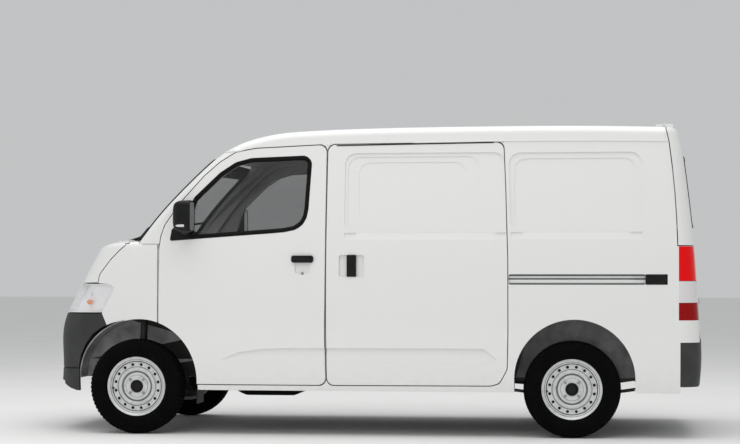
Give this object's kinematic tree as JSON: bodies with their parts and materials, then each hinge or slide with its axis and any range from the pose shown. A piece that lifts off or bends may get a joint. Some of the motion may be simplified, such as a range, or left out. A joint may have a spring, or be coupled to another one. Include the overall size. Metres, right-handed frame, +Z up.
{
  "type": "panel van",
  "caption": "Small white panel van with a short bonnet, side sliding doors, lifting tailgate, steel wheels and dark moulded bumpers.",
  "frame": {"origin": "on the ground under the middle of the body", "axes": "+X to the rear, +Y to the right side, +Z up"},
  "size_m": [4.0468, 1.89, 1.9001],
  "materials": {
    "white_paint": "gloss white paint",
    "grey_moulding": "grained dark grey moulding",
    "black_moulding": "matt black moulding",
    "dark_steel": "black underbody paint",
    "cast_metal": "rough casting",
    "rail_metal": "satin",
    "red_lens": "moulded lens",
    "clear_lens": "fluted lens",
    "tinted_glass": "tinted glass",
    "seat_cloth": "woven grey cloth",
    "tyre_rubber": "black rubber",
    "wheel_silver": "silver wheel paint"
  },
  "bodies": {
    "body": {"body_side_left": "white_paint", "body_side_right": "white_paint", "roof_panel": "white_paint", "front_wing_left": "white_paint", "front_wing_right": "white_paint", "wheel_houses_front": "black_moulding", "wheel_houses_rear": "black_moulding", "sliding_door_left": "white_paint", "sliding_door_right": "white_paint", "slide_rails": "rail_metal", "tail_lamps": "red_lens", "rear_bumper": "grey_moulding", "front_bumper": "grey_moulding", "cowl": "white_paint", "bulkhead": "white_paint", "windscreen_glass": "tinted_glass", "headlamps": "clear_lens", "nose_panel": "white_paint", "grille": "black_moulding", "floor_pan": "white_paint", "cab_floor": "white_paint", "dashboard": "black_moulding", "chassis_rails": "dark_steel", "front_suspension": "dark_steel", "rear_axle": "dark_steel", "leaf_springs": "dark_steel", "prop_shaft": "dark_steel", "engine_block": "cast_metal", "exhaust": "dark_steel", "fuel_tank": "dark_steel", "spare_wheel": "tyre_rubber", "front_seats": "seat_cloth", "steering_wheel": "black_moulding", "mud_flaps": "black_moulding"},
    "front_door_left": {"front_door_left": "white_paint", "front_door_glass_left": "tinted_glass", "door_mirror_left": "black_moulding"},
    "front_door_right": {"front_door_right": "white_paint", "front_door_glass_right": "tinted_glass", "door_mirror_right": "black_moulding"},
    "tailgate": {"tailgate": "white_paint", "tailgate_glass": "tinted_glass"},
    "bonnet": {"bonnet": "white_paint"},
    "knuckle_left": {"knuckle_left": "dark_steel"},
    "knuckle_right": {"knuckle_right": "dark_steel"},
    "wheel_front_left": {"tyre_front_left": "tyre_rubber", "rim_front_left": "wheel_silver"},
    "wheel_front_right": {"tyre_front_right": "tyre_rubber", "rim_front_right": "wheel_silver"},
    "wheel_rear_left": {"tyre_rear_left": "tyre_rubber", "rim_rear_left": "wheel_silver"},
    "wheel_rear_right": {"tyre_rear_right": "tyre_rubber", "rim_rear_right": "wheel_silver"}
  },
  "joints": [
    {"name": "front_door_left_swing", "type": "hinge", "parent": "body", "child": "front_door_left", "pos_m": [-1.26105, -0.7825, 0.9], "axis": [0, 0, -1], "range_deg": [0, 65]},
    {"name": "front_door_right_swing", "type": "hinge", "parent": "body", "child": "front_door_right", "pos_m": [-1.26105, 0.7825, 0.9], "axis": [0, 0, 1], "range_deg": [0, 65]},
    {"name": "tailgate_lift", "type": "hinge", "parent": "body", "child": "tailgate", "pos_m": [1.7846, 0, 1.884], "axis": [0, -1, 0], "range_deg": [0, 85]},
    {"name": "bonnet_lift", "type": "hinge", "parent": "body", "child": "bonnet", "pos_m": [-1.495, 0, 1.182], "axis": [0, 1, 0], "range_deg": [0, 50]},
    {"name": "steer_left", "type": "hinge", "parent": "body", "child": "knuckle_left", "pos_m": [-1.4195, -0.668, 0.205], "axis": [0, 0.1815, 0.9834], "range_deg": [-32, 32]},
    {"name": "steer_right", "type": "hinge", "parent": "body", "child": "knuckle_right", "pos_m": [-1.4195, 0.668, 0.205], "axis": [0, -0.1815, 0.9834], "range_deg": [-32, 32]},
    {"name": "spin_front_left", "type": "hinge", "parent": "knuckle_left", "child": "wheel_front_left", "pos_m": [-1.4195, -0.73, 0.29], "axis": [0, 1, 0], "continuous": true},
    {"name": "spin_front_right", "type": "hinge", "parent": "knuckle_right", "child": "wheel_front_right", "pos_m": [-1.4195, 0.73, 0.29], "axis": [0, 1, 0], "continuous": true},
    {"name": "spin_rear_left", "type": "hinge", "parent": "body", "child": "wheel_rear_left", "pos_m": [1.2305, -0.73, 0.29], "axis": [0, 1, 0], "continuous": true},
    {"name": "spin_rear_right", "type": "hinge", "parent": "body", "child": "wheel_rear_right", "pos_m": [1.2305, 0.73, 0.29], "axis": [0, 1, 0], "continuous": true}
  ],
  "couplings": [
    {"joint": "steer_right", "follows": "steer_left", "ratio": 1}
  ]
}
